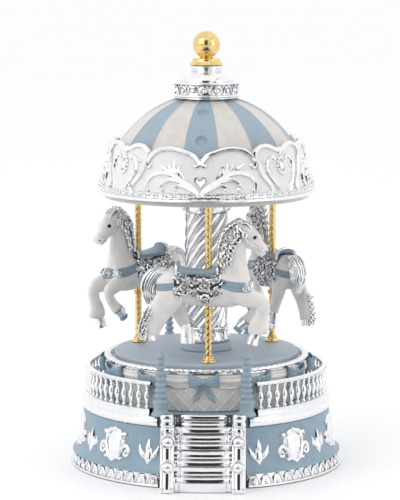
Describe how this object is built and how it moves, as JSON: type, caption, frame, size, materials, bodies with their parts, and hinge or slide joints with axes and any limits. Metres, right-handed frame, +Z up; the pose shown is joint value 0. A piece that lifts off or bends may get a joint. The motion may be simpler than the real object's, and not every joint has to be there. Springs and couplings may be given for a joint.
{
  "type": "carousel music box",
  "caption": "Wind-up carousel music box: a round base with stairs and a balustrade holds the movement and turns a platform of horses under a striped domed canopy.",
  "frame": {"origin": "middle of the underside of the foot, on the surface the box stands on", "axes": "+Z up along the centre rod, -Y towards the front stairs, +X to the viewer's right"},
  "size_m": [0.12, 0.1344, 0.19],
  "materials": {
    "blue_paint": "satin powder-blue paint on cast resin",
    "platform_blue": "matte grey-blue paint on cast resin",
    "silver_plate": "bright silver electroplate on cast resin",
    "stair_chrome": "mirror silver electroplate on cast resin",
    "drum_cream": "pearl cream paint on cast resin",
    "canopy_pearl": "pearl grey paint under raised silver scrollwork",
    "canopy_paint": "satin paint in blue and cream stripes",
    "horse_paint": "pearl cream paint with silver mane, tail and trim and blue tack",
    "gold_plate": "polished gold-coloured plate",
    "cover_plastic": "moulded black plastic",
    "movement_steel": "zinc-plated or tempered steel",
    "movement_brass": "turned brass"
  },
  "bodies": {
    "base": {"base_shell": "blue_paint", "foot_ring_right": "silver_plate", "foot_ring_left": "silver_plate", "balustrade_right": "silver_plate", "balustrade_left": "silver_plate", "bollard_front_left": "blue_paint", "bollard_front_right": "blue_paint", "bollard_rear_left": "blue_paint", "bollard_rear_right": "blue_paint", "stairs_front": "stair_chrome", "stairs_rear": "stair_chrome", "lattice_drum": "drum_cream", "drum_rim": "silver_plate", "swag_band": "drum_cream", "bottom_cover": "cover_plastic", "cover_screw_1": "movement_steel", "cover_screw_2": "movement_steel", "cover_screw_3": "movement_steel", "movement_bedplate": "movement_steel", "movement_screw_1": "movement_steel", "movement_screw_2": "movement_steel", "spring_barrel": "movement_brass", "mainspring": "movement_steel", "comb": "movement_steel", "comb_block": "movement_brass", "comb_screw_1": "movement_steel", "comb_screw_2": "movement_steel", "cylinder_bearing_inner": "movement_brass", "cylinder_bearing_outer": "movement_brass", "governor_seat": "movement_brass"},
    "carousel": {"drive_shaft": "movement_steel", "winding_key": "movement_steel", "great_wheel": "movement_brass", "turntable_hub": "movement_brass", "turntable_platform": "platform_blue", "centre_rod": "movement_steel", "column_base": "platform_blue", "column": "silver_plate", "column_capital": "silver_plate", "canopy_ceiling": "drum_cream", "canopy_dome": "canopy_paint", "canopy_valance": "canopy_pearl", "canopy_cap": "silver_plate", "finial": "gold_plate", "pole_front": "gold_plate", "pole_flange_front": "gold_plate", "pole_collar_front": "gold_plate", "horse_front": "horse_paint", "pole_right": "gold_plate", "pole_flange_right": "gold_plate", "pole_collar_right": "gold_plate", "horse_right": "horse_paint", "pole_left": "gold_plate", "pole_flange_left": "gold_plate", "pole_collar_left": "gold_plate", "horse_left": "horse_paint"},
    "music_cylinder": {"music_cylinder": "movement_brass"},
    "governor_wheel": {"governor_wheel": "movement_brass"},
    "governor_fly": {"governor_fly": "movement_brass"}
  },
  "joints": [
    {"name": "carousel_spin", "type": "hinge", "parent": "base", "child": "carousel", "pos_m": [0, 0, 0.048], "axis": [0, 0, 1], "continuous": true},
    {"name": "cylinder_spin", "type": "hinge", "parent": "base", "child": "music_cylinder", "pos_m": [0.0174, 0, 0.0194], "axis": [1, 0, 0], "continuous": true},
    {"name": "governor_wheel_spin", "type": "hinge", "parent": "base", "child": "governor_wheel", "pos_m": [0.0332, 0.00667, 0.0194], "axis": [1, 0, 0], "continuous": true},
    {"name": "governor_fly_spin", "type": "hinge", "parent": "base", "child": "governor_fly", "pos_m": [0.0373, 0.01117, 0.014], "axis": [0, 0, 1], "continuous": true}
  ],
  "couplings": [
    {"joint": "cylinder_spin", "follows": "carousel_spin", "ratio": -4},
    {"joint": "governor_wheel_spin", "follows": "carousel_spin", "ratio": 12},
    {"joint": "governor_fly_spin", "follows": "carousel_spin", "ratio": -84}
  ]
}
